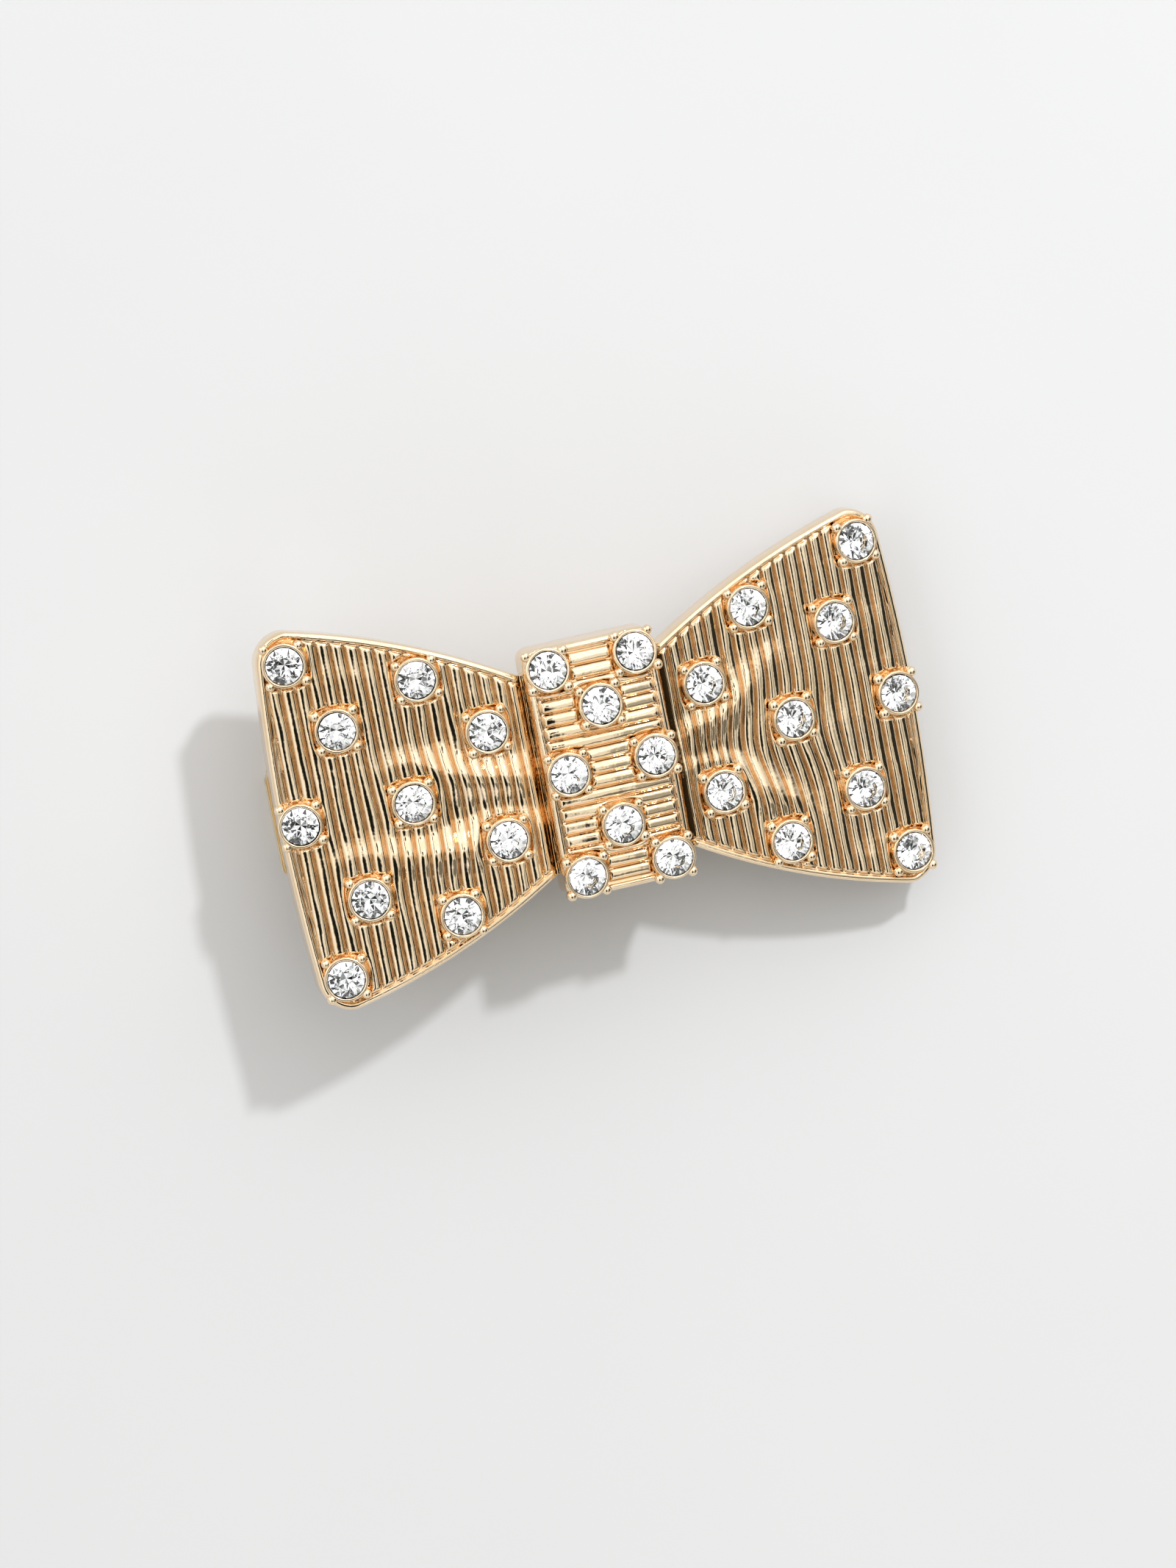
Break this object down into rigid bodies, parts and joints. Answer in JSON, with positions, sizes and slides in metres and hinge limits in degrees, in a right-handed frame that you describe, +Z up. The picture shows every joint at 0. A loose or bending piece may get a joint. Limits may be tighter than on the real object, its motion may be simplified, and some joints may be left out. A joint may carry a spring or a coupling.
{
  "type": "rhinestone hair clip",
  "caption": "Bow-shaped gilt hair clip: a ribbed cast bow set with round clear crystals, on a toothed alligator clip with a sprung lower jaw.",
  "frame": {"origin": "on the ground under the middle of the whole clip, with the clip lying face up on its lever tip and its jaw tip", "axes": "+X along the bow from the lever's tail to the jaw tip, +Y across the bow, +Z up out of the decorated face"},
  "size_m": [0.0542, 0.0314, 0.0145],
  "materials": {
    "gilt_casting": "polished pale gold plating on cast zinc alloy",
    "gilt_sheet": "gold-plated stamped steel sheet",
    "pin_steel": "gold-plated steel, riveted ends",
    "spring_steel": "bright spring wire",
    "solder": "dull tin solder",
    "crystal": "clear cut glass, foil-backed"
  },
  "bodies": {
    "bow": {"bow_plate": "gilt_casting", "knot_band": "gilt_casting", "solder_pad": "solder", "upper_jaw": "gilt_sheet", "hinge_pin": "pin_steel", "torsion_spring": "spring_steel", "left_stone_1": "crystal", "left_stone_2": "crystal", "left_stone_3": "crystal", "left_stone_4": "crystal", "left_stone_5": "crystal", "left_stone_6": "crystal", "left_stone_7": "crystal", "left_stone_8": "crystal", "left_stone_9": "crystal", "left_stone_10": "crystal", "right_stone_1": "crystal", "right_stone_2": "crystal", "right_stone_3": "crystal", "right_stone_4": "crystal", "right_stone_5": "crystal", "right_stone_6": "crystal", "right_stone_7": "crystal", "right_stone_8": "crystal", "right_stone_9": "crystal", "right_stone_10": "crystal", "knot_stone_1": "crystal", "knot_stone_2": "crystal", "knot_stone_3": "crystal", "knot_stone_4": "crystal", "knot_stone_5": "crystal", "knot_stone_6": "crystal", "knot_stone_7": "crystal", "knot_stone_8": "crystal"},
    "jaw": {"lower_jaw": "gilt_sheet"}
  },
  "joints": [
    {"name": "jaw_hinge", "type": "hinge", "parent": "bow", "child": "jaw", "pos_m": [-0.01269, 0, 0.00492], "axis": [0, 1, 0], "range_deg": [0, 28], "stiffness_Nm_per_rad": 0.018, "springref_deg": -57.3, "deforming": ["torsion_spring"]}
  ]
}
